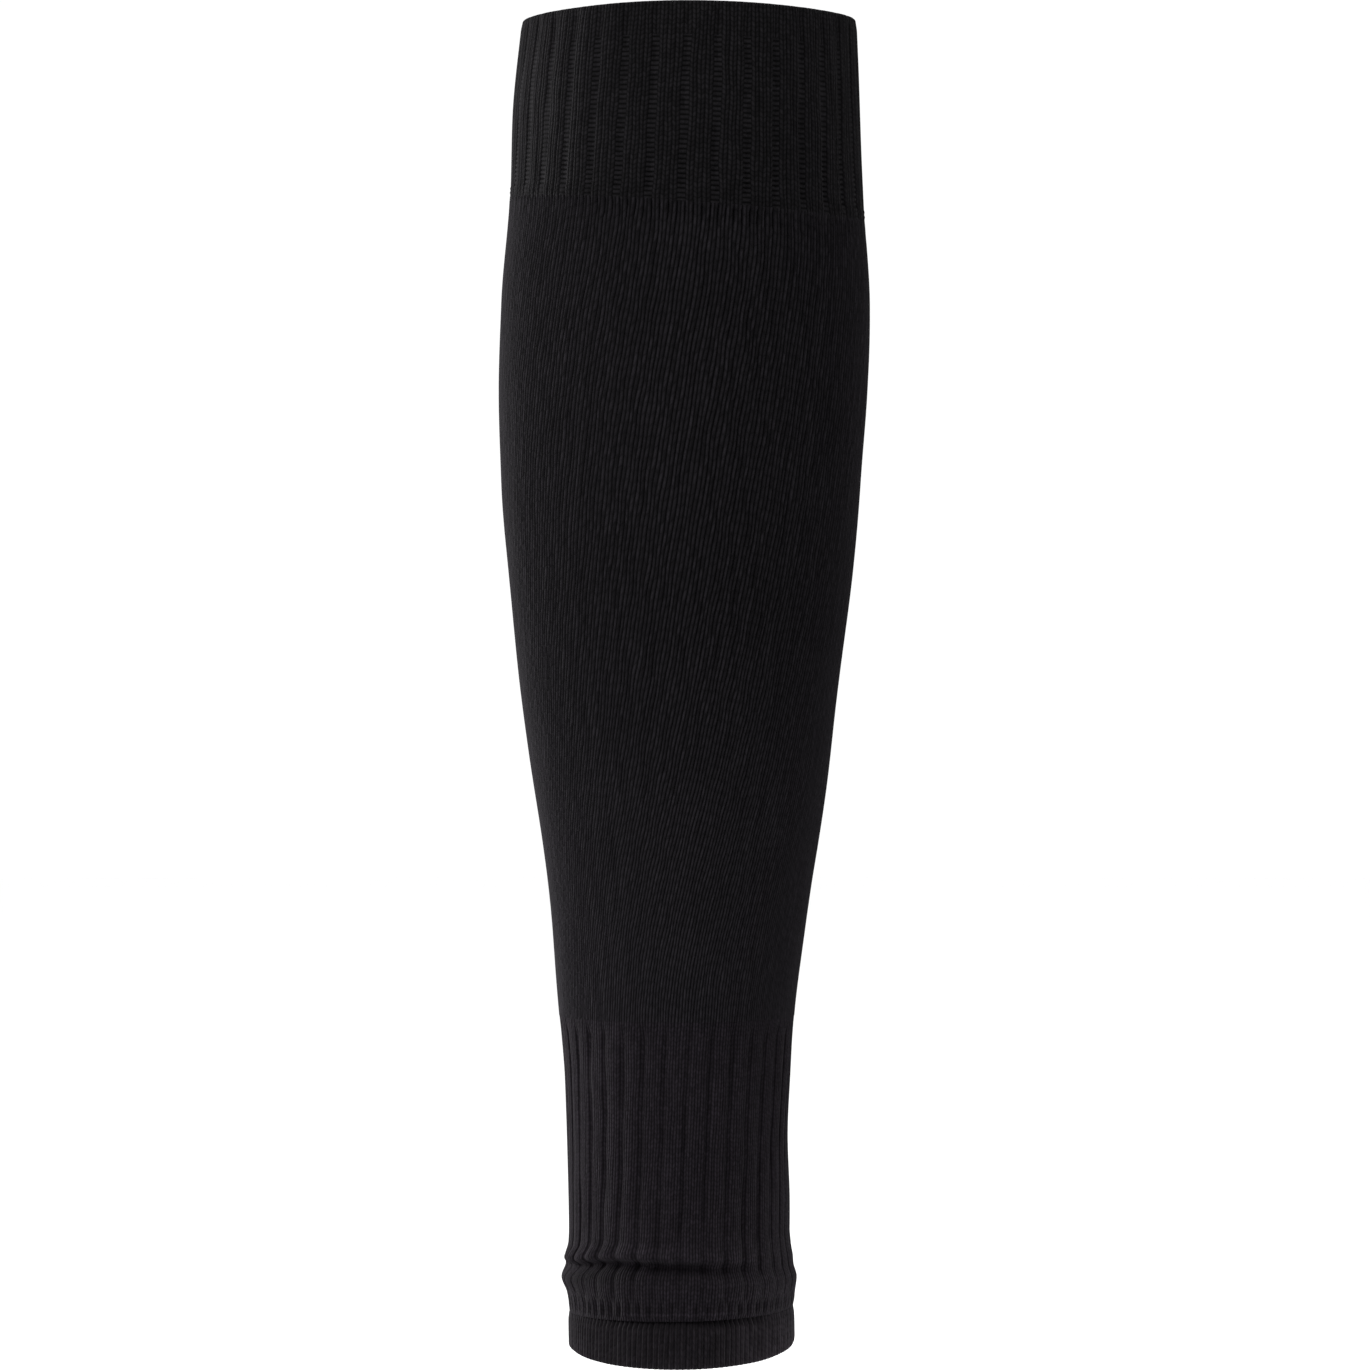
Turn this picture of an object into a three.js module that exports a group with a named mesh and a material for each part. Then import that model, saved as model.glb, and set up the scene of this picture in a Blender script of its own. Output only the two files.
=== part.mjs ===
// A footless football sock sleeve, in the form it has on a leg, from under the knee to above the ankle.
// It is one knitted tube, open at both ends, in four bands: a ribbed cuff, a plain leg, a ribbed ankle
// that slouches into one roll, and a fine hem. The shin faces -Y and the calf bulges towards +Y.

import * as THREE from 'three';
import { ParametricGeometry } from 'three/addons/geometries/ParametricGeometry.js';

// Sizes are in millimetres. Heights are above the sides of the hem's lower edge.
const LENGTH = 360;
const GRIP_HEIGHT = 334; // middle of the cuff, where the sleeve holds on to the leg: the origin
const RIBS = 36; // ribs round the cuff and the ankle
const BAND_GAP = 0.3; // clearance between neighbouring bands

// How far the tube reaches from the leg's axis at each height: left and right along X, front and back along Y.
const SECTIONS = [
  { height: 0, left: 31.5, right: 29.8, front: 40.2, back: 43.8 }, // hem
  { height: 5.5, left: 31.6, right: 29.8, front: 39.9, back: 43.6 },
  { height: 9.1, left: 31.6, right: 29.7, front: 38.8, back: 43.2 }, // lower crease
  { height: 13, left: 32.1, right: 30.1, front: 40.2, back: 44.2 },
  { height: 17.8, left: 33.5, right: 30.5, front: 40.8, back: 44.8 }, // roll
  { height: 23.5, left: 32.3, right: 29.2, front: 37.4, back: 43.2 }, // upper crease
  { height: 27.5, left: 31.8, right: 28.7, front: 40.0, back: 44.0 }, // knuckle over the crease
  { height: 31, left: 31.7, right: 28.4, front: 39.2, back: 43.5 },
  { height: 38, left: 31.8, right: 28.4, front: 38.2, back: 43.0 },
  { height: 55, left: 32.1, right: 28.1, front: 37.8, back: 43.0 }, // ankle
  { height: 71, left: 32.8, right: 28.7, front: 37.8, back: 43.2 },
  { height: 88, left: 34.3, right: 29.7, front: 38.2, back: 43.8 },
  { height: 112, left: 36.0, right: 32.7, front: 39.2, back: 45.5 },
  { height: 136, left: 38.8, right: 36.3, front: 40.8, back: 48.5 },
  { height: 161, left: 42.6, right: 39.7, front: 42.6, back: 52.0 },
  { height: 185, left: 45.7, right: 42.5, front: 44.4, back: 56.0 },
  { height: 210, left: 48.1, right: 45.8, front: 46.0, back: 60.0 },
  { height: 234, left: 50.0, right: 47.9, front: 47.2, back: 63.0 },
  { height: 259, left: 50.6, right: 49.7, front: 48.0, back: 64.0 }, // calf
  { height: 283, left: 50.0, right: 50.4, front: 48.3, back: 62.5 },
  { height: 308, left: 48.0, right: 48.8, front: 48.2, back: 58.5 },
  { height: 333, left: 47.1, right: 47.7, front: 47.6, back: 55.0 },
  { height: LENGTH, left: 44.4, right: 46.8, front: 46.0, back: 52.0 }, // top of the cuff
];

// Lines where a band begins or ends. Each lies in a plane that sinks by frontDrop at the front and climbs by
// leftRise at the left. Its gap is the clearance between the bands that meet there.
const EDGES = {
  hemEdge: { height: 0, frontDrop: 3.6, leftRise: -0.6, gap: 0 },
  lowerCrease: { height: 9.1, frontDrop: 0, leftRise: 0, gap: BAND_GAP },
  ankleLine: { height: 88.8, frontDrop: 0, leftRise: 0, gap: BAND_GAP },
  cuffLine: { height: 308.3, frontDrop: 1.3, leftRise: 3.5, gap: BAND_GAP },
  topEdge: { height: LENGTH, frontDrop: 0, leftRise: 0, gap: 0 },
};

// A band's wall follows its ribs on both faces. A groove runs between neighbouring ribs, and grooveShare is
// half the groove's width as a share of a rib's. Columns are the facets round the band.
const BANDS = [
  { name: 'cuff', from: 'cuffLine', to: 'topEdge', wall: 2.0, grooveDepth: 0.8, grooveShare: 0.25,
    columns: 4 * RIBS, colour: 0x1c1b1d },
  { name: 'leg', from: 'ankleLine', to: 'cuffLine', wall: 1.4, grooveDepth: 0, grooveShare: 0.5,
    columns: 2 * RIBS, colour: 0x1a191b },
  { name: 'ankle_rib', from: 'lowerCrease', to: 'ankleLine', wall: 1.8, grooveDepth: 0.9, grooveShare: 0.5,
    columns: 4 * RIBS, colour: 0x1e1d1f },
  { name: 'hem', from: 'hemEdge', to: 'lowerCrease', wall: 2.0, grooveDepth: 0, grooveShare: 0.5,
    columns: 2 * RIBS, colour: 0x201f21 },
];

const KNIT_ROUGHNESS = 0.95;

const reaches = new THREE.CubicInterpolant(
  SECTIONS.map((section) => section.height),
  SECTIONS.flatMap((section) => [section.left, section.right, section.front, section.back]),
  4,
);

// The tube's outline at a height: four quarter ellipses, from the middle of the front round by the right.
function outlineAt(height) {
  const [left, right, front, back] = reaches.evaluate(height);
  const quarter = Math.PI / 2;
  const outline = new THREE.CurvePath();
  outline.add(new THREE.EllipseCurve(0, 0, right, front, -quarter, 0));
  outline.add(new THREE.EllipseCurve(0, 0, right, back, 0, quarter));
  outline.add(new THREE.EllipseCurve(0, 0, left, back, quarter, 2 * quarter));
  outline.add(new THREE.EllipseCurve(0, 0, left, front, 2 * quarter, 3 * quarter));
  return outline;
}

// An edge's height at a share of the way round, from the middle of the front.
function edgeHeight(edge, share) {
  const turn = 2 * Math.PI * share;
  return edge.height - edge.frontDrop * Math.cos(turn) - edge.leftRise * Math.sin(turn);
}

// How deep a band's surface is sunk at a share of the way round. A groove lies in the middle of the front.
function groove(band, share) {
  const place = share * RIBS;
  const fromGroove = Math.abs(place - Math.round(place));
  return band.grooveDepth * Math.max(0, 1 - fromGroove / band.grooveShare);
}

// The rings that a band's closed wall passes through: up its outer face and down its inner face. Apart from
// the two edges there is a ring at each section that lies clear of them.
function wallRings(band) {
  const lower = EDGES[band.from];
  const upper = EDGES[band.to];
  const tilt = (edge) => Math.hypot(edge.frontDrop, edge.leftRise) + edge.gap;
  const between = SECTIONS.map((section) => section.height)
    .filter((height) => height > lower.height + tilt(lower) && height < upper.height - tilt(upper));
  const heights = [
    (share) => edgeHeight(lower, share) + lower.gap / 2,
    ...between.map((height) => () => height),
    (share) => edgeHeight(upper, share) - upper.gap / 2,
  ];
  const outer = heights.map((heightAt) => ({ heightAt, inset: 0 }));
  const inner = heights.map((heightAt) => ({ heightAt, inset: band.wall })).reverse();
  return [...outer, ...inner];
}

function bandGeometry(band) {
  const rings = wallRings(band);
  const wallPoint = (round, along, target) => {
    const share = round % 1;
    const place = along * rings.length;
    const index = Math.floor(place);
    const ring = rings[index % rings.length];
    const next = rings[(index + 1) % rings.length];
    const height = THREE.MathUtils.lerp(ring.heightAt(share), next.heightAt(share), place - index);
    const inset = THREE.MathUtils.lerp(ring.inset, next.inset, place - index) + groove(band, share);
    const outline = outlineAt(height);
    const point = outline.getPoint(share);
    const tangent = outline.getTangent(share);
    target.set(point.x - tangent.y * inset, point.y + tangent.x * inset, height);
  };
  return new ParametricGeometry(wallPoint, band.columns, rings.length);
}

function bandMesh(band) {
  const knit = new THREE.MeshStandardMaterial({ color: band.colour, roughness: KNIT_ROUGHNESS, metalness: 0 });
  const mesh = new THREE.Mesh(bandGeometry(band), knit);
  mesh.name = band.name;
  return mesh;
}

const sleeve = new THREE.Group();
sleeve.add(...BANDS.map(bandMesh));
sleeve.position.z = -GRIP_HEIGHT;

export default sleeve;
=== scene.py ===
import math
from dataclasses import dataclass, replace
from typing import Callable

import bpy
import numpy as np
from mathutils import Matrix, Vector


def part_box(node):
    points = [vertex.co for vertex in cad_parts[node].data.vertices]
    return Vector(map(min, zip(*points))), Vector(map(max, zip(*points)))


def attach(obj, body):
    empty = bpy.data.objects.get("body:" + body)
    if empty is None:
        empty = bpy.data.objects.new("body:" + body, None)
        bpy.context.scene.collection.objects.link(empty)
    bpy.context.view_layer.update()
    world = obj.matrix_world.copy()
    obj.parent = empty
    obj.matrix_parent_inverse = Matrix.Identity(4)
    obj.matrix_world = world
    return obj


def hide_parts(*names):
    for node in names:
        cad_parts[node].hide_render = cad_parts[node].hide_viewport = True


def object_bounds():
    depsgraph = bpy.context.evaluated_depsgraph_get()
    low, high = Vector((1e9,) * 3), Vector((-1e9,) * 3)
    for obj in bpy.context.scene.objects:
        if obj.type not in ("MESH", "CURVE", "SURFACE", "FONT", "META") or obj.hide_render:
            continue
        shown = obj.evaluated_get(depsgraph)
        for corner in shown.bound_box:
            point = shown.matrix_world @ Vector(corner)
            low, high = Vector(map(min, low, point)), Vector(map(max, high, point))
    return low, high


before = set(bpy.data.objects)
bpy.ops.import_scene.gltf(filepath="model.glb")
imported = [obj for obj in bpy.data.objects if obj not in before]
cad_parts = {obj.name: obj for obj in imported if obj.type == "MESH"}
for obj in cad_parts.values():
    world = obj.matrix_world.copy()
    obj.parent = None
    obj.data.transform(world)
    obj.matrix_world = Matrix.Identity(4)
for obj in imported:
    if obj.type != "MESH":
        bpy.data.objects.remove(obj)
CAD_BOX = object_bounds()

# Sizes are in millimetres, as on the solids. Heights are above the sides of the hem's lower edge.
MM = 0.001
LENGTH = 360.0
BASE_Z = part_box("cuff")[1].z / MM - LENGTH  # the hem's sides in the frame

# The knit
WALES = 144  # columns of stitches all round
RIB_WALES = 4  # a rib is three raised wales and one sunk wale
GROOVE_REACH = 0.85  # how many wales a rib's groove reaches to each side
COURSE = 1.25  # height of a row of stitches in the ribbed bands
LEG_COURSE = 3.0  # the same in the leg, whose stitches are long
MEAN_GIRTH = 280.0  # of the tube, roughly
SUNK_PART = 0.75  # share of a stitch's relief that lies under the tube's surface
LEG_PARTED = 0.7  # how deep the valley between the legs of the leg's stitches is
LEG_RELIEF = 0.52  # depth of the leg's stitches at the ankle
PLAIN_TOP = 7  # courses at the cuff's top that have no purl stitches
SWAY = 0.0005  # how far wales stray sideways, as a share of the girth
SWELL = 0.1  # how far the surface strays in and out
RELAXED_GIRTH = 0.85  # girth of the sleeve off the leg, as a share of its girth on it

# How far the tube reaches from the leg's axis: left and right along X, front and back along Y.
SECTIONS = (
    dict(height=0.0, left=31.5, right=29.8, front=40.2, back=43.8),
    dict(height=5.5, left=31.6, right=29.8, front=39.9, back=43.6),
    dict(height=9.1, left=31.6, right=29.7, front=38.8, back=43.2),
    dict(height=13.0, left=32.1, right=30.1, front=40.2, back=44.2),
    dict(height=17.8, left=33.5, right=30.5, front=40.8, back=44.8),
    dict(height=23.5, left=32.3, right=29.2, front=37.4, back=43.2),
    dict(height=27.5, left=31.8, right=28.7, front=40.0, back=44.0),
    dict(height=31.0, left=31.7, right=28.4, front=39.2, back=43.5),
    dict(height=38.0, left=31.8, right=28.4, front=38.2, back=43.0),
    dict(height=55.0, left=32.1, right=28.1, front=37.8, back=43.0),
    dict(height=71.0, left=32.8, right=28.7, front=37.8, back=43.2),
    dict(height=88.0, left=34.3, right=29.7, front=38.2, back=43.8),
    dict(height=112.0, left=36.0, right=32.7, front=39.2, back=45.5),
    dict(height=136.0, left=38.8, right=36.3, front=40.8, back=48.5),
    dict(height=161.0, left=42.6, right=39.7, front=42.6, back=52.0),
    dict(height=185.0, left=45.7, right=42.5, front=44.4, back=56.0),
    dict(height=210.0, left=48.1, right=45.8, front=46.0, back=60.0),
    dict(height=234.0, left=50.0, right=47.9, front=47.2, back=63.0),
    dict(height=259.0, left=50.6, right=49.7, front=48.0, back=64.0),
    dict(height=283.0, left=50.0, right=50.4, front=48.3, back=62.5),
    dict(height=308.0, left=48.0, right=48.8, front=48.2, back=58.5),
    dict(height=333.0, left=47.1, right=47.7, front=47.6, back=55.0),
    dict(height=LENGTH, left=44.4, right=46.8, front=46.0, back=52.0),
)

# How far a wale runs to the right for each millimetre that it climbs, at the middle of the front. Between
# the two groove heights below, the wales run round by 20 wales, so the cuff's wales go on from the leg's.
LEANS = (
    dict(height=0.0, lean=0.03),
    dict(height=88.0, lean=0.05),
    dict(height=98.0, lean=0.12),
    dict(height=115.0, lean=0.22),
    dict(height=140.0, lean=0.24),
    dict(height=164.0, lean=0.20),
    dict(height=196.0, lean=0.17),
    dict(height=230.0, lean=0.147),
    dict(height=278.0, lean=0.17),
    dict(height=300.0, lean=0.10),
    dict(height=310.0, lean=0.04),
    dict(height=LENGTH, lean=0.04),
)

# Lines where a band begins or ends. Each lies about a plane that sinks at the front and climbs at the left.
# It rises and falls by its wave three times round, with a crest at the front.
HEM_EDGE = dict(height=0.0, front_drop=3.6, left_rise=-0.6, wave=0.0)
LOWER_CREASE = dict(height=9.1, front_drop=0.0, left_rise=-0.8, wave=0.0)
ANKLE_LINE = dict(height=88.8, front_drop=0.0, left_rise=0.0, wave=0.0)
CUFF_LINE = dict(height=308.3, front_drop=1.3, left_rise=3.5, wave=0.0)
TOP_EDGE = dict(height=LENGTH, front_drop=0.0, left_rise=-0.15, wave=0.4)

HEM_COURSES = round((LOWER_CREASE["height"] - HEM_EDGE["height"]) / COURSE)
ANKLE_COURSES = round((ANKLE_LINE["height"] - LOWER_CREASE["height"]) / COURSE)
LEG_COURSES = round((CUFF_LINE["height"] - ANKLE_LINE["height"]) / LEG_COURSE)
CUFF_COURSES = round((TOP_EDGE["height"] - CUFF_LINE["height"]) / COURSE)
ANKLE_GROOVE_HEIGHT = 60.0  # where a groove passes the middle of the front
CUFF_GROOVE_HEIGHT = 335.0

# Heights at which a change in the knit begins and is complete
RIM_OPENS = (LENGTH, LENGTH - 3.5)
LADDERS_OPEN = (LENGTH - 8.0, LENGTH - 20.0)
LEG_DEEPENS = (100.0, 200.0)
LEG_SPARKLES = (100.0, 220.0)
ANKLE_RIBS_RISE = (ANKLE_LINE["height"], ANKLE_LINE["height"] - 5.0)
ROLL_RIBS_FLATTEN = (24.0, 20.0)
DASHES_OPEN = (15.5, 12.5)

# The upper crease, where the ankle slouches. Places are shares of the girth from the middle of the front,
# negative on the left.
CREASE_HEIGHT = 20.7
CREASE_RISE = 3.3  # how much higher it is at its peak
CREASE_PEAK = -0.07

# Camera and floor
CAMERA_DISTANCE = 1650.0  # from the leg's axis
CAMERA_HEIGHT = 178.7
FRAME_WIDTH = 373.5  # width that the camera sees at the leg's axis
SENSOR = 36.0
FLOOR_DROP = 60.0  # the floor's depth under the hem
FLOOR_RADIUS = 6000.0


# Shape of the tube

def curve_through(rows, column, heights):
    """A smooth curve through one column of a table, which stays between neighbouring rows."""
    known = np.array([row["height"] for row in rows])
    values = np.array([row[column] for row in rows])
    steps = np.diff(known)
    slopes = np.diff(values) / steps
    before, after = slopes[:-1], slopes[1:]
    steady = before * after > 0
    tangents = np.concatenate([slopes[:1], np.zeros(len(before)), slopes[-1:]])
    tangents[1:-1][steady] = 2 * before[steady] * after[steady] / (before + after)[steady]
    heights = np.clip(heights, known[0], known[-1])
    index = np.clip(np.searchsorted(known, heights) - 1, 0, len(steps) - 1)
    part = (heights - known[index]) / steps[index]
    rest = 1 - part
    return (
        values[index] * rest**2 * (1 + 2 * part)
        + values[index + 1] * part**2 * (1 + 2 * rest)
        + steps[index] * part * rest * (tangents[index] * rest - tangents[index + 1] * part)
    )


def half_axes(turn, heights):
    """The tube's half-width and half-depth on the side that an angle points to."""
    left = curve_through(SECTIONS, "left", heights)
    right = curve_through(SECTIONS, "right", heights)
    front = curve_through(SECTIONS, "front", heights)
    back = curve_through(SECTIONS, "back", heights)
    return np.where(np.cos(turn) < 0, left, right), np.where(np.sin(turn) < 0, front, back)


def round_the_tube(height, steps=1440):
    """Angles at one height, from mid-front round by the right, and the girth passed at each."""
    turns = np.linspace(-0.5 * math.pi, 1.5 * math.pi, steps + 1)
    wide, deep = half_axes(turns, np.full(turns.shape, height))
    pieces = np.hypot(np.diff(wide * np.cos(turns)), np.diff(deep * np.sin(turns)))
    return turns, np.concatenate([[0.0], np.cumsum(pieces)])


def girth_at(height):
    return round_the_tube(height)[1][-1]


def turn_at(share, height):
    """Angles at shares of the girth, counted from the middle of the front, at one height."""
    turns, passed = round_the_tube(height)
    return np.interp(share % 1.0, passed / passed[-1], turns)


def twist_table():
    """How far round the wales have run at each whole height, as a share of the girth."""
    heights = np.arange(0.0, LENGTH + 1.0)
    girths = np.array([girth_at(height) for height in heights])
    leans = curve_through(LEANS, "lean", heights)
    return heights, np.cumsum(leans / girths)


TWIST = twist_table()


def twist_between(start, end):
    return np.interp(end, *TWIST) - np.interp(start, *TWIST)


def edge_height(edge, share):
    around = 2 * math.pi * share
    plane = edge["height"] - edge["front_drop"] * np.cos(around) - edge["left_rise"] * np.sin(around)
    return plane + edge["wave"] * np.cos(3 * around)


# Fields over the knit

def ease(start, end, values):
    """0 up to start, 1 from end on, and smooth between them."""
    part = np.clip((values - start) / (end - start), 0, 1)
    return part * part * (3 - 2 * part)


def bump_at(values, middle, spread):
    """1 at the middle, falling smoothly to 0 on both sides."""
    return np.exp(-(((values - middle) / spread) ** 2))


def waves_summed(share, heights, seed, count, around_range, length):
    """Waves of chance directions, added up. Length is that of the shortest wave along the tube."""
    draws = np.random.default_rng(seed)
    field = np.zeros(np.broadcast(share, heights).shape)
    for _ in range(count):
        around = draws.integers(*around_range)
        up = draws.uniform(-1.0, 1.0) / length
        phase = draws.uniform(0.0, 1.0)
        field += np.sin(2 * math.pi * (around * share + up * heights + phase))
    return field / math.sqrt(count)


def wander(share, heights, seed, length):
    """A soft uneven field, mostly between -1 and 1, with waves of about this length in millimetres."""
    most_around = max(2, int(2 * MEAN_GIRTH / length))
    return waves_summed(share, heights, seed, count=9, around_range=(1, most_around), length=length)


def streaks(share, heights):
    """A field from -1 to 1 that differs from wale to wale and changes slowly along them."""
    return np.tanh(waves_summed(share, heights, seed=12, count=14, around_range=(30, 72), length=40.0))


def from_front(share):
    """Shares of the girth from the middle of the front: negative on the left, positive on the right."""
    return (share + 0.5) % 1.0 - 0.5


def sunk_wale(wale):
    """1 in the middle of each rib's sunk wale, falling to 0 where its groove ends."""
    away = np.abs(wale - RIB_WALES * np.round(wale / RIB_WALES))
    return ease(GROOVE_REACH, 0.0, away)


def rib_dome(wale):
    """0 in the groove and 1 on the rib's crown."""
    return np.sin(math.pi * wale / RIB_WALES) ** 2


def stitch_legs(wale, parted):
    """The two legs of a wale's stitches. Parted is how deep the valley between them is, from 0 to 1."""
    return parted * np.sin(2 * math.pi * wale) ** 2 + (1 - parted) * np.cos(math.pi * wale) ** 2


# The upper crease and the lower one, where the ankle is tucked in over the hem

def crease_height(share):
    """The upper crease climbs to its peak a little left of the front."""
    place = from_front(share)
    spread = np.where(place < CREASE_PEAK, 0.1, 0.15)
    return CREASE_HEIGHT + CREASE_RISE * bump_at(place, CREASE_PEAK, spread)


def crease_strength(share):
    """The upper crease is deepest at the front and towards the left."""
    place = from_front(share)
    return 0.15 + 0.85 * ease(-0.27, -0.17, place) * ease(0.16, -0.12, place)


def over_crease(share, heights):
    """Heights above the upper crease."""
    return heights - crease_height(share)


def crease_fold(share, heights):
    """How far the slouch moves the wall: (out at the lips and in at the crease, down at the upper lip)."""
    above = over_crease(share, heights)
    overhang = bump_at(from_front(share), -0.12, 0.06)
    dip = (1.3 + 0.4 * overhang) * bump_at(above, 0.0, np.where(above < 0, 1.8, 1.5))
    upper_lip = (1.3 + 0.3 * overhang) * bump_at(above, 3.0, 1.7)
    lower_lip = (0.7 - 0.4 * overhang) * bump_at(above, -3.2, 2.0)
    strength = crease_strength(share)
    return strength * (upper_lip + lower_lip - dip), strength * 0.8 * bump_at(above, 2.6, 1.8)


def no_fold(share, heights):
    return np.zeros(heights.shape), np.zeros(heights.shape)


def tuck_strength(share):
    """The lower crease is deepest at the front."""
    place = from_front(share)
    return 0.2 + 0.8 * ease(-0.16, -0.05, place) * ease(0.14, 0.06, place)


def over_hem(share, heights):
    """Heights above the lower crease."""
    return heights - edge_height(LOWER_CREASE, share)


def fine_part(heights):
    """1 in the lowest part of the roll, where the ribs give way to dashes, and 0 above it."""
    return ease(*DASHES_OPEN, heights)


def roll_dashes(wale, share, heights):
    """1 on the dashes at every second wale, between the roll and the lower crease, and 0 elsewhere."""
    from_dash = np.abs((wale - 1) - 2 * np.round((wale - 1) / 2))
    return fine_part(heights) * ease(0.6, 0.0, from_dash) * ease(0.2, 1.9, over_hem(share, heights))


# Relief of each band, in millimetres out of the tube's surface

def joined(relief, wale, closeness):
    """A relief that turns into one that the cuff and the leg share, as closeness to the other goes to 1."""
    shared = 0.34 * (stitch_legs(wale, 0.5) - SUNK_PART)
    return relief + closeness * (shared - relief)


def cuff_relief(wale, course, share, heights):
    groove = sunk_wale(wale)
    ladder = 0.5 + 0.5 * np.cos(2 * math.pi * course)
    slack = ease(*LADDERS_OPEN, heights)
    rim = ease(*RIM_OPENS, heights)
    purl_row = ease(2.8, 1.8, course)
    dash = 0.5 + 0.5 * np.cos(2 * math.pi * wale)
    depth = (0.25 + 0.45 * rim + 0.3 * slack) * (1 + 0.2 * wander(share, heights, seed=13, length=18.0))
    depth = depth * (1 - 0.3 * ease(-0.04, -0.1, from_front(share)))
    ribs = (0.3 * rib_dome(wale) * rim - 0.3 - 0.95 * groove * depth) * (1 - 0.7 * purl_row)
    knit_depth = 0.42 * (1 - groove) * (1 + 0.35 * streaks(share, heights))
    knit = knit_depth * (stitch_legs(wale, 0.5) - SUNK_PART)
    rungs = 0.75 * ladder * groove * slack * (1 - purl_row)
    return joined(ribs + knit + rungs + 0.2 * purl_row * ladder * dash, wale, ease(0.5, 0.0, course))


def leg_relief(wale, course, share, heights):
    under_line = LEG_COURSES - course
    depth = (LEG_RELIEF + 0.18 * ease(*LEG_DEEPENS, heights)) * (1 + 0.25 * streaks(share, heights))
    knit = depth * (stitch_legs(wale, LEG_PARTED) - SUNK_PART)
    slits = 0.55 * ease(2.0, 1.4, under_line) * np.sin(math.pi * wale) ** 8
    return joined(knit - slits, wale, ease(0.5, 0.0, under_line))


def ankle_relief(wale, course, share, heights):
    begun = ease(*ANKLE_RIBS_RISE, heights)
    roll = ease(*ROLL_RIBS_FLATTEN, heights)
    above = over_crease(share, heights)
    hooks = 0.3 + 0.7 * ease(-0.05, -0.11, from_front(share))
    knuckle = bump_at(above, 3.2, 2.2) * crease_strength(share) * hooks
    groove = sunk_wale(wale)
    groove_depth = 0.75 - 0.375 * bump_at(above, 6.5, 3.0) * (1 - hooks)
    shape = 0.3 * rib_dome(wale) * (1 + 1.6 * knuckle) - 0.3 - groove_depth * groove
    rib_depth = begun * (1 - 0.45 * roll) * (1 - 0.7 * fine_part(heights))
    ribs = shape * rib_depth * (1 + 0.2 * wander(share, heights, seed=33, length=18.0))
    knit_depth = (LEG_RELIEF - 0.2 * begun) * (1 - 0.8 * groove * begun)
    knit = knit_depth * (stitch_legs(wale, LEG_PARTED) - SUNK_PART) * (1 + 0.35 * streaks(share, heights))
    over = over_hem(share, heights)
    tuck = (0.3 * ease(1.3, 0.0, over) - 0.3 * bump_at(over, 1.9, 0.8)) * tuck_strength(share)
    return ribs + knit - 0.75 * roll_dashes(wale, share, heights) - tuck


def hem_relief(wale, course, share, heights):
    tuck = 1.1 * ease(-2.2, 0.0, over_hem(share, heights)) * tuck_strength(share)
    depth = 0.6 * (1 + 0.3 * streaks(share, heights))
    return depth * (np.cos(math.pi * wale) ** 2 - SUNK_PART) - tuck


# Tone of each band's yarn, as a factor of its brightness, with painted light and shade

def even_tone(wale, share, heights):
    return np.ones(heights.shape)


def leg_tone(wale, share, heights):
    """Chance decides which of a stitch's two legs is turned to the light more."""
    stitches = np.random.default_rng(31).uniform(-1.0, 1.0, (round(LENGTH / LEG_COURSE), WALES))
    turned = stitches[(heights / LEG_COURSE).astype(int), np.round(wale).astype(int) % WALES]
    return 1 + (0.25 + 0.25 * ease(*LEG_SPARKLES, heights)) * turned * np.sin(2 * math.pi * wale)


def ankle_tone(wale, share, heights):
    """Painted highlights on the knuckles over the upper crease and on the lip above the lower crease.
    Painted shade in the dashes, and under the upper crease at the left.
    """
    place = from_front(share)
    above = over_crease(share, heights)
    painted_light_area = ease(-0.22, -0.12, place) * (0.5 + 0.5 * ease(-0.1, -0.04, place)) * ease(0.14, 0.05, place)
    # painted highlight on the knuckles' bulbs over the upper crease
    knuckle_highlight = bump_at(above, 3.5, 1.7) * painted_light_area * (0.5 + 0.5 * rib_dome(wale))
    # painted highlight on the lip just above the lower crease
    row = bump_at(over_hem(share, heights), 1.8, 0.5) * ease(-0.09, -0.05, place) * ease(0.09, 0.03, place)
    # painted shade under the upper crease at the left
    painted_shade = bump_at(place, -0.12, 0.07) * ease(-0.5, -2.0, above) * (0.2 + 0.4 * bump_at(above, -3.2, 2.0))
    # painted shade in the dashes' recesses
    dashes = 0.35 * roll_dashes(wale, share, heights)
    return (1 + 0.5 * knuckle_highlight + 0.65 * row) * (1 - painted_shade) * (1 - dashes)


def hem_tone(wale, share, heights):
    """Painted light makes the hem brighter at the right, and painted shade makes it darker in the lower
    crease.
    """
    place = from_front(share)
    # painted light on the hem's right side
    painted_light_area = ease(0.045, 0.085, place) * ease(0.3, 0.1, place)
    # painted shade in the lower crease
    painted_shade = ease(-2.6, -0.6, over_hem(share, heights)) * tuck_strength(share)
    return (1 + 0.8 * painted_light_area) * (1 - 0.4 * painted_shade)


# Meshes

# A band's edge is rounded over the whole wall, turned over at its outer corner, or cut flush.
ROUND, TURNED, FLUSH = "round", "turned", "flush"
ROUND_RISE = 0.3  # how high a round edge stands, as a share of the wall
TURNED_RADIUS = 0.2


@dataclass
class Band:
    """One band of the sleeve, knitted between two edges."""

    node: str
    slot: str
    lower: dict
    upper: dict
    lower_finish: str
    upper_finish: str
    wall: float
    columns: int  # mesh columns for each wale
    courses: int
    row_heights: np.ndarray  # of the outer face
    inner_heights: np.ndarray  # of the rows on the inner face
    relief: Callable
    fold: Callable
    tone: Callable
    groove_height: float  # where a groove passes the middle of the front


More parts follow.
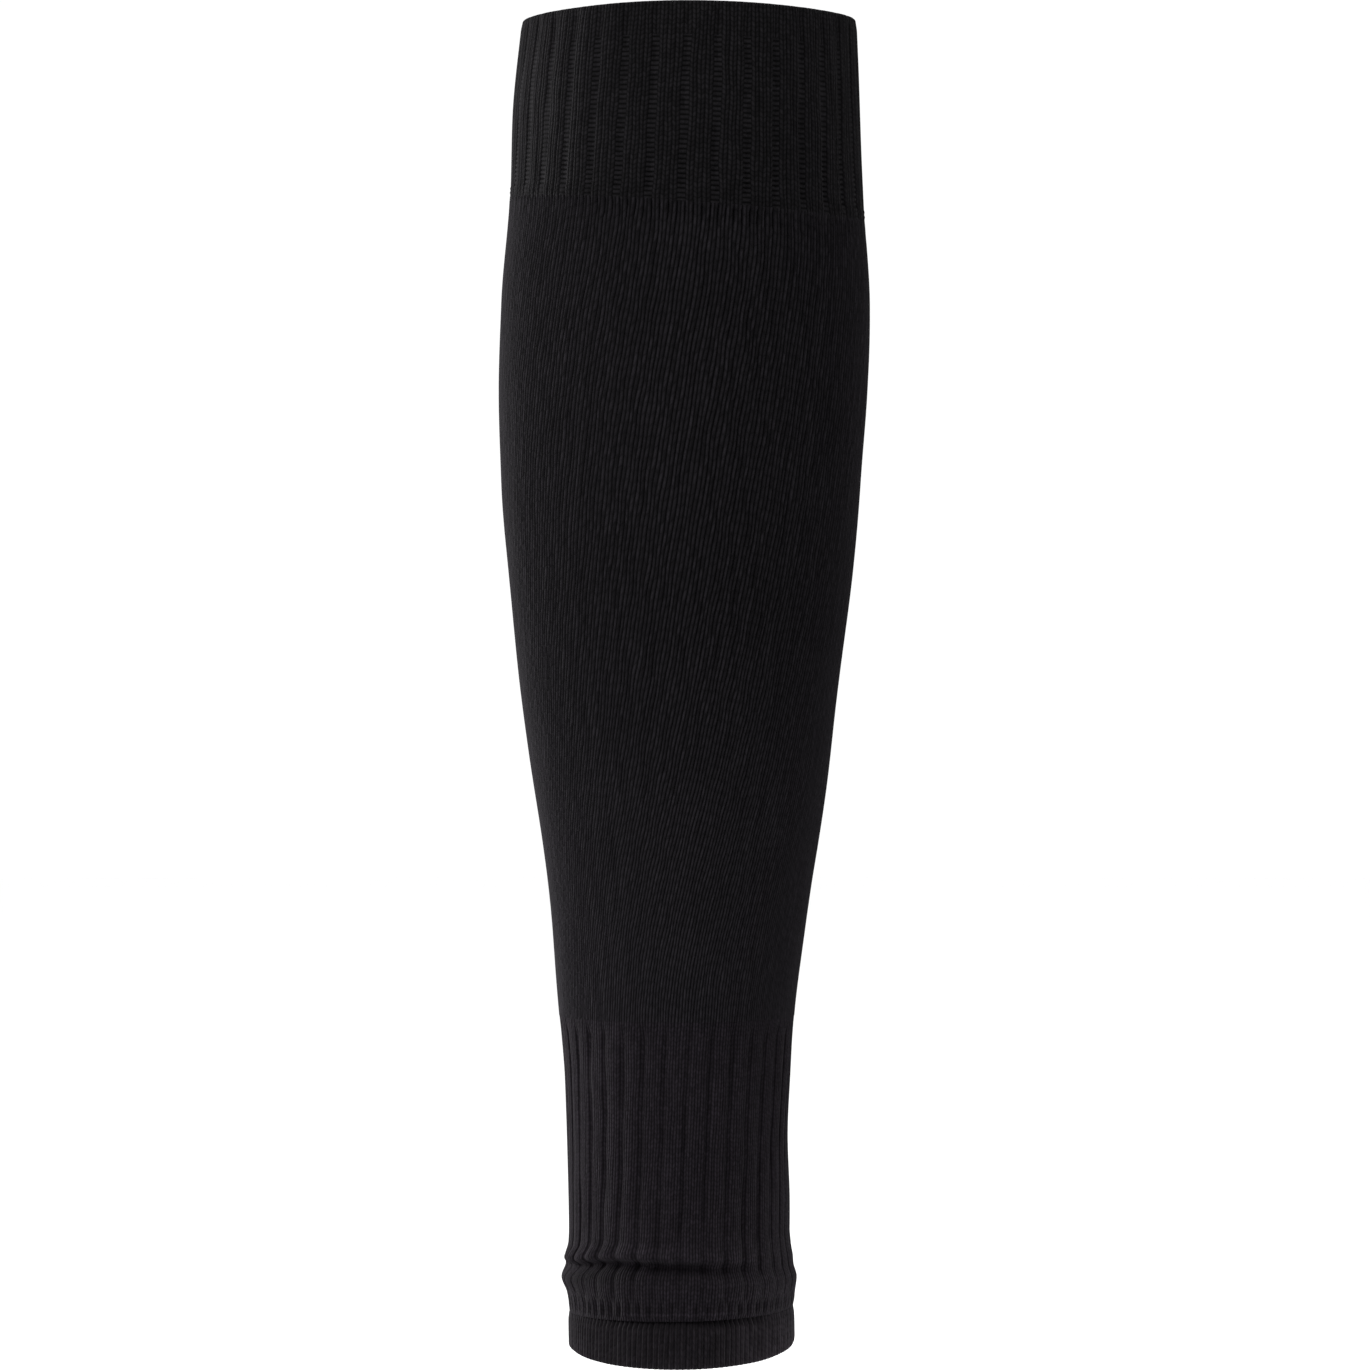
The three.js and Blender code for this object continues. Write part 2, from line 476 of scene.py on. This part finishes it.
def edge_rings(finish, wall):
    """(height beyond the edge, inset) of the rings that carry a band's outer face over its edge."""
    if finish == ROUND:
        arc = np.linspace(0, math.pi, 8)[1:-1]
        rise, radius = ROUND_RISE * wall, 0.5 * wall
        return [(rise * (math.sin(turn) - 1), radius * (1 - math.cos(turn))) for turn in arc]
    if finish == TURNED:
        arc = np.linspace(0, 0.5 * math.pi, 4)[1:]
        radius = TURNED_RADIUS
        return [(radius * (math.sin(turn) - 1), radius * (1 - math.cos(turn))) for turn in arc]
    return []


def edge_retreat(finish, wall):
    """How far the outer face stops short of an edge, to leave room for its rings."""
    return {ROUND: ROUND_RISE * wall, TURNED: TURNED_RADIUS, FLUSH: 0.0}[finish]


def wall_rings(band):
    """Rings round the band's closed wall: (share of the way up, height added, inset), outer face first."""
    low, high = band.lower["height"], band.upper["height"]
    parts = (band.row_heights - low) / (high - low)
    lower_gap = edge_retreat(band.lower_finish, band.wall)
    upper_gap = edge_retreat(band.upper_finish, band.wall)
    outer = [(part, (1 - part) * lower_gap - part * upper_gap, 0.0) for part in parts]
    over = [(1.0, rise, inset) for rise, inset in edge_rings(band.upper_finish, band.wall)]
    inner_parts = ((band.inner_heights - low) / (high - low))[::-1]
    lower_gap = lower_gap if band.lower_finish == ROUND else 0.0
    upper_gap = upper_gap if band.upper_finish == ROUND else 0.0
    inner = [(part, (1 - part) * lower_gap - part * upper_gap, band.wall) for part in inner_parts]
    under = [(0.0, -rise, inset) for rise, inset in edge_rings(band.lower_finish, band.wall)][::-1]
    return np.array(outer + over + inner + under), len(outer), len(outer) + len(over)


def band_points(band, rings):
    """Each ring's points, the yarn's tone there, the columns' wales and the rings' courses."""
    wale = np.arange(WALES * band.columns) / band.columns
    part, added, inset = (rings[:, i : i + 1] for i in range(3))
    middle = (1 - part) * band.lower["height"] + part * band.upper["height"] + added
    share = wale / WALES + twist_between(band.groove_height, middle)
    share = share + SWAY * wander(share, middle, seed=21, length=14.0)
    heights = (1 - part) * edge_height(band.lower, share) + part * edge_height(band.upper, share) + added
    turn = np.array([turn_at(row, height) for row, height in zip(share, middle[:, 0])])
    wide, deep = half_axes(turn, heights)
    across, along = np.cos(turn) / wide, np.sin(turn) / deep
    steep = np.hypot(across, along)
    course = part * band.courses + added / COURSE
    swell = SWELL * wander(share, heights, seed=22, length=35.0)
    relief = band.relief(wale, course, share, heights) + swell
    outward, downward = band.fold(share, heights)
    out = outward + relief * (1 - 0.5 * inset / band.wall) - inset
    x = wide * np.cos(turn) + out * across / steep
    y = deep * np.sin(turn) + out * along / steep
    z = heights - downward + BASE_Z
    return np.stack([x, y, z], axis=-1), band.tone(wale, share, heights), wale, course


def stitch_map(wale, course):
    """Wale and course at each corner of each face, for the material, with a wale's middle at a half."""
    wales = np.append(wale, WALES) + 0.5
    courses = np.concatenate([course, course[:1]])
    both = np.stack(np.broadcast_arrays(wales, courses), axis=-1)
    return np.stack([both[:-1, :-1], both[:-1, 1:], both[1:, 1:], both[1:, :-1]], axis=2)


def ring_mesh(name, points, tone, uv, inside, sharp_rings):
    """A closed mesh of quads through rings of points."""
    rings, columns = points.shape[:2]
    ring, column = np.meshgrid(np.arange(rings), np.arange(columns), indexing="ij")
    next_ring, next_column = (ring + 1) % rings, (column + 1) % columns
    corners = np.stack(
        [
            ring * columns + column,
            ring * columns + next_column,
            next_ring * columns + next_column,
            next_ring * columns + column,
        ],
        axis=-1,
    ).reshape(-1, 4)
    mesh = bpy.data.meshes.new(name)
    mesh.vertices.add(rings * columns)
    mesh.vertices.foreach_set("co", (points * MM).ravel())
    mesh.loops.add(corners.size)
    mesh.loops.foreach_set("vertex_index", corners.ravel())
    mesh.polygons.add(len(corners))
    mesh.polygons.foreach_set("loop_start", np.arange(0, corners.size, 4))
    mesh.polygons.foreach_set("material_index", np.repeat(inside.astype(np.int32), columns))
    mesh.uv_layers.new(name="stitches").uv.foreach_set("vector", uv.ravel())
    mesh.attributes.new("tone", "FLOAT", "POINT").data.foreach_set("value", tone.ravel())
    mesh.update(calc_edges=True)
    mesh.polygons.foreach_set("use_smooth", np.ones(len(corners), bool))
    ends = np.zeros(len(mesh.edges) * 2, np.int32)
    mesh.edges.foreach_get("vertices", ends)
    ends = ends.reshape(-1, 2) // columns
    sharp = (ends[:, 0] == ends[:, 1]) & np.isin(ends[:, 0], sharp_rings)
    mesh.attributes.new("sharp_edge", "BOOLEAN", "EDGE").data.foreach_set("value", sharp)
    return mesh


def knit_band(band, outside_material, inside_material):
    """The band's mesh as a knitted sheet in place of its solid."""
    rings, outer_end, inner_start = wall_rings(band)
    points, tone, wale, course = band_points(band, rings)
    inner_end = inner_start + len(band.inner_heights)
    index = np.arange(len(rings))
    inside = (index >= inner_start) & (index < inner_end - 1)
    sharp_rings = []
    if band.upper_finish == FLUSH:
        sharp_rings += [outer_end - 1, inner_start]
    if band.lower_finish == FLUSH:
        sharp_rings += [0, inner_end - 1]
    mesh = ring_mesh(band.node + "_knit", points, tone, stitch_map(wale, course), inside, sharp_rings)
    mesh.materials.append(outside_material)
    mesh.materials.append(inside_material)
    piece = bpy.data.objects.new(band.node + "_knit", mesh)
    bpy.context.scene.collection.objects.link(piece)
    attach(piece, "root")
    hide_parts(band.node)
    lower, upper = band.lower, band.upper
    width = RELAXED_GIRTH * girth_at(0.5 * (lower["height"] + upper["height"])) * MM
    return piece


# Materials

def put(tree, value, socket):
    """Gives a socket a value, which is a constant or another node's socket."""
    if isinstance(value, bpy.types.NodeSocket):
        tree.links.new(value, socket)
    else:
        socket.default_value = value


def calc(tree, operation, *values):
    """A Math node's result."""
    node = tree.nodes.new("ShaderNodeMath")
    node.operation = operation
    for socket, value in zip(node.inputs, values):
        put(tree, value, socket)
    return node.outputs[0]


def ranged(tree, value, low, high, top=1.0):
    """A value from 0 to top, spread evenly from low to high."""
    node = tree.nodes.new("ShaderNodeMapRange")
    for name, given in (("Value", value), ("From Max", top), ("To Min", low), ("To Max", high)):
        put(tree, given, node.inputs[name])
    return node.outputs["Result"]


def new_group(name, inputs, outputs):
    """An empty shader node group, with its input and output nodes."""
    tree = bpy.data.node_groups.new(name, "ShaderNodeTree")
    for socket, kind in inputs:
        tree.interface.new_socket(socket, in_out="INPUT", socket_type=kind)
    for socket, kind in outputs:
        tree.interface.new_socket(socket, in_out="OUTPUT", socket_type=kind)
    return tree, tree.nodes.new("NodeGroupInput"), tree.nodes.new("NodeGroupOutput")


def knit_stitch_group():
    """Knit stitches as pairs of slanting legs, and purl stitches as rungs, in a map of wales and courses.

    Break is how dark the ends of a stitch's legs are. Stagger is how many courses neighbouring wales are
    out of step. Sunk Every is 4 where each fourth wale is sunk, 1 where all are, and 0 where none is. Sunk
    wales have purl stitches below the course Purl Below. Strand is a chance value for each stitch's leg.
    Groove is 1 in the middle of a sunk wale.
    """
    number = "NodeSocketFloat"
    tree, given, result = new_group(
        "knit_stitch",
        [
            ("Stitches", "NodeSocketVector"),
            ("Slant", number),
            ("Break", number),
            ("Stagger", number),
            ("Sunk Every", number),
            ("Purl Below", number),
        ],
        [("Height", number), ("Strand", number), ("Groove", number)],
    )
    split = tree.nodes.new("ShaderNodeSeparateXYZ")
    tree.links.new(given.outputs["Stitches"], split.inputs[0])
    wale, course = split.outputs["X"], split.outputs["Y"]
    in_wale = calc(tree, "FRACT", wale)
    across = calc(tree, "MULTIPLY", calc(tree, "ABSOLUTE", calc(tree, "SUBTRACT", in_wale, 0.5)), 2.0)
    step = tree.nodes.new("ShaderNodeTexWhiteNoise")
    step.noise_dimensions = "1D"
    tree.links.new(calc(tree, "FLOOR", wale), step.inputs["W"])
    run = calc(tree, "SUBTRACT", course, calc(tree, "MULTIPLY", across, given.outputs["Slant"]))
    run = calc(tree, "MULTIPLY_ADD", step.outputs["Value"], given.outputs["Stagger"], run)
    along = calc(tree, "SINE", calc(tree, "MULTIPLY", calc(tree, "FRACT", run), math.pi))
    gap = calc(tree, "SUBTRACT", 1.0, calc(tree, "POWER", along, 0.5))
    along = calc(tree, "SUBTRACT", 1.0, calc(tree, "MULTIPLY", gap, given.outputs["Break"]))
    width = calc(tree, "SINE", calc(tree, "MULTIPLY", across, math.pi))
    leg = calc(tree, "MULTIPLY", calc(tree, "POWER", width, 0.8), along)
    rung = calc(tree, "ABSOLUTE", calc(tree, "COSINE", calc(tree, "MULTIPLY", course, math.pi)))
    every = given.outputs["Sunk Every"]
    sunk = calc(tree, "LESS_THAN", calc(tree, "MODULO", wale, every), 1.0)
    sunk = calc(tree, "MULTIPLY", sunk, calc(tree, "GREATER_THAN", every, 0.5))
    purl = calc(tree, "MULTIPLY", sunk, calc(tree, "LESS_THAN", course, given.outputs["Purl Below"]))
    knit = calc(tree, "MULTIPLY", leg, calc(tree, "SUBTRACT", 1.0, purl))
    tree.links.new(calc(tree, "MULTIPLY_ADD", rung, purl, knit), result.inputs["Height"])
    cell = tree.nodes.new("ShaderNodeCombineXYZ")
    tree.links.new(calc(tree, "FLOOR", calc(tree, "MULTIPLY", wale, 2.0)), cell.inputs["X"])
    tree.links.new(calc(tree, "FLOOR", run), cell.inputs["Y"])
    chance = tree.nodes.new("ShaderNodeTexWhiteNoise")
    chance.noise_dimensions = "2D"
    tree.links.new(cell.outputs[0], chance.inputs["Vector"])
    tree.links.new(chance.outputs["Value"], result.inputs["Strand"])
    middle = calc(tree, "SINE", calc(tree, "MULTIPLY", in_wale, math.pi))
    tree.links.new(calc(tree, "MULTIPLY", sunk, middle), result.inputs["Groove"])
    return tree


def yarn_fuzz_group():
    """Uneven dye and loose fibres: soft blotches, fine specks and a roughness that follows the specks."""
    number = "NodeSocketFloat"
    tree, given, result = new_group(
        "yarn_fuzz",
        [("Fibre Scale", number)],
        [("Blotch", number), ("Fibre", number), ("Roughness", number)],
    )
    place = tree.nodes.new("ShaderNodeTexCoord").outputs["Object"]
    blotch = tree.nodes.new("ShaderNodeTexNoise")
    blotch.inputs["Scale"].default_value = 45.0
    blotch.inputs["Detail"].default_value = 3.0
    fibre = tree.nodes.new("ShaderNodeTexNoise")
    fibre.inputs["Detail"].default_value = 2.0
    tree.links.new(given.outputs["Fibre Scale"], fibre.inputs["Scale"])
    for noise, output in ((blotch, "Blotch"), (fibre, "Fibre")):
        tree.links.new(place, noise.inputs["Vector"])
        tree.links.new(noise.outputs["Fac"], result.inputs[output])
    tree.links.new(ranged(tree, fibre.outputs["Fac"], 0.75, 1.0), result.inputs["Roughness"])
    return tree


def knit_yarn_group():
    """The yarn's colour and relief over the stitches.

    Dark and Light are the tones between stitches and on top of them, painted shade and painted highlight,
    and Uneven is how much stitches differ. Groove Shade is how much darker sunk wales are. Edge Tone is the
    tone at the band's lower edge, which fades over Edge Courses, and Tone is the one that the mesh carries,
    with its painted light and shade.
    """
    number = "NodeSocketFloat"
    numbers = (
        "Height", "Strand", "Groove", "Blotch", "Fibre", "Tone", "Dark", "Light", "Uneven", "Groove Shade",
        "Edge Tone", "Edge Courses",
    )
    inputs = [("Stitches", "NodeSocketVector"), ("Yarn", "NodeSocketColor")]
    inputs += [(name, number) for name in numbers]
    outputs = [("Colour", "NodeSocketColor"), ("Relief", number)]
    tree, given, result = new_group("knit_yarn", inputs, outputs)
    value = given.outputs
    split = tree.nodes.new("ShaderNodeSeparateXYZ")
    tree.links.new(value["Stitches"], split.inputs[0])
    least = calc(tree, "SUBTRACT", 1.0, value["Uneven"])
    most = calc(tree, "ADD", 1.0, value["Uneven"])
    shaded = calc(tree, "SUBTRACT", 1.0, value["Groove Shade"])
    tone = ranged(tree, value["Height"], value["Dark"], value["Light"])
    for factor in (
        ranged(tree, value["Strand"], least, most),
        ranged(tree, value["Groove"], 1.0, shaded),
        ranged(tree, value["Blotch"], 0.8, 1.2),
        ranged(tree, value["Fibre"], 0.6, 1.4),
        ranged(tree, split.outputs["Y"], value["Edge Tone"], 1.0, top=value["Edge Courses"]),
        value["Tone"],
    ):
        tone = calc(tree, "MULTIPLY", tone, factor)
    colour = tree.nodes.new("ShaderNodeVectorMath")
    colour.operation = "SCALE"
    tree.links.new(value["Yarn"], colour.inputs[0])
    tree.links.new(tone, colour.inputs["Scale"])
    tree.links.new(colour.outputs[0], result.inputs["Colour"])
    relief = calc(tree, "MULTIPLY_ADD", value["Fibre"], 0.3, value["Height"])
    tree.links.new(relief, result.inputs["Relief"])
    return tree


FIBRE_SCALE = 1500.0
STITCH_RISE = 0.4  # how high the bump takes a stitch to be
KNIT_STITCH = knit_stitch_group()
YARN_FUZZ = yarn_fuzz_group()
KNIT_YARN = knit_yarn_group()


def placed(tree, group, values):
    """A node group in a material, with its inputs by name."""
    node = tree.nodes.new("ShaderNodeGroup")
    node.node_tree = group
    for name, value in values.items():
        put(tree, value, node.inputs[name])
    return node


@dataclass
class Look:
    """How a band's yarn looks."""

    yarn: float  # brightness
    tint: tuple
    slant: float  # how far a stitch's legs slant, in courses
    breaks: float  # how dark the ends of a stitch's legs are
    stagger: float  # how many courses neighbouring wales are out of step
    sunk_every: int
    purl_below: int
    dark: float  # tone between stitches, as painted shade
    light: float  # tone on top of stitches, as painted highlight
    uneven: float  # how much tones differ from stitch to stitch
    groove_shade: float  # how much darker sunk wales are
    bump: float
    sheen: float
    edge_tone: float = 1.0  # tone at the lower edge
    edge_courses: float = 1.0  # how far up that fades


def knit_material(name, look):
    """Matt black yarn: painted shade between stitches and painted highlight on them, a little uneven, with
    the stitches raised.
    """
    material = bpy.data.materials.new(name)
    material.use_nodes = True
    tree = material.node_tree
    shader = tree.nodes["Principled BSDF"]
    where = tree.nodes.new("ShaderNodeUVMap")
    where.uv_map = "stitches"
    tone = tree.nodes.new("ShaderNodeAttribute")
    tone.attribute_name = "tone"
    stitch = placed(tree, KNIT_STITCH, {
        "Stitches": where.outputs["UV"],
        "Slant": look.slant,
        "Break": look.breaks,
        "Stagger": look.stagger,
        "Sunk Every": look.sunk_every,
        "Purl Below": look.purl_below,
    })
    fuzz = placed(tree, YARN_FUZZ, {"Fibre Scale": FIBRE_SCALE})
    yarn = placed(tree, KNIT_YARN, {
        "Stitches": where.outputs["UV"],
        "Yarn": [look.yarn * share for share in look.tint] + [1.0],
        "Height": stitch.outputs["Height"],
        "Strand": stitch.outputs["Strand"],
        "Groove": stitch.outputs["Groove"],
        "Blotch": fuzz.outputs["Blotch"],
        "Fibre": fuzz.outputs["Fibre"],
        "Tone": tone.outputs["Fac"],
        "Dark": look.dark,
        "Light": look.light,
        "Uneven": look.uneven,
        "Groove Shade": look.groove_shade,
        "Edge Tone": look.edge_tone,
        "Edge Courses": look.edge_courses,
    })
    tree.links.new(yarn.outputs["Colour"], shader.inputs["Base Color"])
    tree.links.new(fuzz.outputs["Roughness"], shader.inputs["Roughness"])
    raised = tree.nodes.new("ShaderNodeBump")
    raised.inputs["Strength"].default_value = look.bump
    raised.inputs["Distance"].default_value = STITCH_RISE * MM
    tree.links.new(yarn.outputs["Relief"], raised.inputs["Height"])
    tree.links.new(raised.outputs["Normal"], shader.inputs["Normal"])
    shader.inputs["Specular IOR Level"].default_value = 0.03
    shader.inputs["Sheen Weight"].default_value = look.sheen
    shader.inputs["Sheen Roughness"].default_value = 0.45
    shader.inputs["Sheen Tint"].default_value = (0.93, 0.86, 0.95, 1.0)
    return material


# The sleeve

FOLD_TOP = 36.0  # below it the ankle's rows are close, to follow the folds


def rows_between(lower, upper, count):
    return np.linspace(lower["height"], upper["height"], count)


def ankle_rows(low_step, high_count):
    """Heights of rows in the ankle, close together in the folds."""
    low = np.arange(LOWER_CREASE["height"], FOLD_TOP, low_step)
    return np.concatenate([low, np.linspace(FOLD_TOP, ANKLE_LINE["height"], high_count)])


BANDS = (
    Band(
        node="cuff", slot="cuff_knit", lower=CUFF_LINE, upper=TOP_EDGE,
        lower_finish=FLUSH, upper_finish=ROUND, wall=2.0, columns=6, courses=CUFF_COURSES,
        row_heights=rows_between(CUFF_LINE, TOP_EDGE, 2 * CUFF_COURSES + 1),
        inner_heights=rows_between(CUFF_LINE, TOP_EDGE, 9),
        relief=cuff_relief, fold=no_fold, tone=even_tone, groove_height=CUFF_GROOVE_HEIGHT,
    ),
    Band(
        node="leg", slot="leg_knit", lower=ANKLE_LINE, upper=CUFF_LINE,
        lower_finish=FLUSH, upper_finish=FLUSH, wall=1.4, columns=4, courses=LEG_COURSES,
        row_heights=rows_between(ANKLE_LINE, CUFF_LINE, 150),
        inner_heights=rows_between(ANKLE_LINE, CUFF_LINE, 12),
        relief=leg_relief, fold=no_fold, tone=leg_tone, groove_height=ANKLE_GROOVE_HEIGHT,
    ),
    Band(
        node="ankle_rib", slot="ankle_knit", lower=LOWER_CREASE, upper=ANKLE_LINE,
        lower_finish=TURNED, upper_finish=FLUSH, wall=1.8, columns=6, courses=ANKLE_COURSES,
        row_heights=ankle_rows(0.55, 35), inner_heights=ankle_rows(1.5, 6),
        relief=ankle_relief, fold=crease_fold, tone=ankle_tone, groove_height=ANKLE_GROOVE_HEIGHT,
    ),
    Band(
        node="hem", slot="hem_knit", lower=HEM_EDGE, upper=LOWER_CREASE,
        lower_finish=ROUND, upper_finish=TURNED, wall=2.0, columns=8, courses=HEM_COURSES,
        row_heights=rows_between(HEM_EDGE, LOWER_CREASE, 26),
        inner_heights=rows_between(HEM_EDGE, LOWER_CREASE, 4),
        relief=hem_relief, fold=no_fold, tone=hem_tone, groove_height=ANKLE_GROOVE_HEIGHT,
    ),
)

LOOKS = {
    # The cuff's lower edge tone is painted shade along its line with the leg.
    "cuff": Look(
        yarn=0.0032, tint=(1.0, 0.92, 1.05), slant=0.5, breaks=0.7, stagger=0.5, sunk_every=RIB_WALES,
        purl_below=CUFF_COURSES - PLAIN_TOP, dark=0.0, light=1.65, uneven=0.3, groove_shade=0.0, bump=0.5,
        sheen=0.011, edge_tone=0.8, edge_courses=4.0,
    ),
    "leg": Look(
        yarn=0.0028, tint=(1.0, 0.9, 1.07), slant=0.35, breaks=0.4, stagger=1.0, sunk_every=0,
        purl_below=0, dark=0.0, light=2.2, uneven=0.12, groove_shade=0.0, bump=0.9, sheen=0.016,
        edge_tone=1.5, edge_courses=38.0,
    ),
    "ankle_rib": Look(
        yarn=0.0061, tint=(1.0, 0.83, 1.06), slant=0.5, breaks=0.6, stagger=0.5, sunk_every=RIB_WALES,
        purl_below=0, dark=0.15, light=1.45, uneven=0.25, groove_shade=0.2, bump=0.35, sheen=0.015,
        edge_tone=1.05, edge_courses=24.0,
    ),
    "hem": Look(
        yarn=0.0056, tint=(1.0, 0.85, 1.03), slant=0.5, breaks=0.6, stagger=0.5, sunk_every=0,
        purl_below=0, dark=0.35, light=1.25, uneven=0.25, groove_shade=0.0, bump=0.3, sheen=0.03,
        edge_tone=1.3, edge_courses=3.0,
    ),
}

for band in BANDS:
    look = LOOKS[band.node]
    # The inside shows purl stitches in every wale and every course
    inner_look = replace(look, sunk_every=1, purl_below=2 * band.courses, groove_shade=0.0, bump=0.8)
    knit_band(band, knit_material(band.slot, look), knit_material(band.slot + "_inside", inner_look))


# Studio

def studio_floor():
    """A wide pale disc below the sleeve."""
    turns = np.linspace(0, 2 * math.pi, 96, endpoint=False)
    radius = FLOOR_RADIUS * MM
    height = (BASE_Z - HEM_EDGE["front_drop"] - FLOOR_DROP) * MM
    rim = [(radius * math.cos(turn), radius * math.sin(turn), height) for turn in turns]
    mesh = bpy.data.meshes.new("studio_floor")
    mesh.from_pydata(rim, [], [tuple(range(len(rim)))])
    floor = bpy.data.objects.new("studio_floor", mesh)
    bpy.context.scene.collection.objects.link(floor)
    material = bpy.data.materials.new("pale_floor")
    material.use_nodes = True
    shader = material.node_tree.nodes["Principled BSDF"]
    shader.inputs["Base Color"].default_value = (0.95, 0.95, 0.95, 1.0)
    shader.inputs["Roughness"].default_value = 0.9
    mesh.materials.append(material)


def soft_light(name, place, size, power, target, spread=180.0):
    """A rectangular soft box that faces a target. Places and sizes are in metres, power in watts."""
    lamp = bpy.data.lights.new(name, "AREA")
    lamp.shape = "RECTANGLE"
    lamp.size, lamp.size_y = size
    lamp.energy = power
    lamp.spread = math.radians(spread)
    light = bpy.data.objects.new(name, lamp)
    light.location = place
    aim = Vector(target) - light.location
    light.rotation_euler = aim.to_track_quat("-Z", "Y").to_euler()
    bpy.context.scene.collection.objects.link(light)


def white_room(strength):
    world = bpy.data.worlds.new("white_room")
    world.use_nodes = True
    background = world.node_tree.nodes["Background"]
    background.inputs["Color"].default_value = (1.0, 1.0, 1.0, 1.0)
    background.inputs["Strength"].default_value = strength
    bpy.context.scene.world = world


def photo_camera():
    """A level camera in front of the shin."""
    lens = bpy.data.cameras.new("camera")
    lens.sensor_width = SENSOR
    lens.lens = SENSOR * CAMERA_DISTANCE / FRAME_WIDTH
    camera = bpy.data.objects.new("camera", lens)
    camera.location = (0.0, -CAMERA_DISTANCE * MM, (CAMERA_HEIGHT + BASE_Z) * MM)
    camera.rotation_euler = (0.5 * math.pi, 0.0, 0.0)
    bpy.context.scene.collection.objects.link(camera)
    bpy.context.scene.camera = camera


sleeve_middle = 0.5 * (CAD_BOX[0] + CAD_BOX[1])
shin = (0.0, 0.0, -0.26)
ankle = (0.0, 0.0, -0.345)
studio_floor()
white_room(strength=1.04)
soft_light("rim_left", place=(-1.1, 0.6, -0.1), size=(0.5, 0.5), power=4.0, target=shin, spread=60.0)
soft_light("front_left", place=(-1.2, -1.0, 1.2), size=(1.0, 1.0), power=36.0, target=sleeve_middle)
soft_light("low_right", place=(0.7, 0.2, -0.36), size=(0.2, 0.05), power=0.06, target=ankle, spread=12.0)
soft_light("above", place=(-0.3, -0.9, 1.3), size=(1.2, 0.6), power=7.0, target=ankle)
photo_camera()
bpy.context.scene.view_settings.view_transform = "Standard"
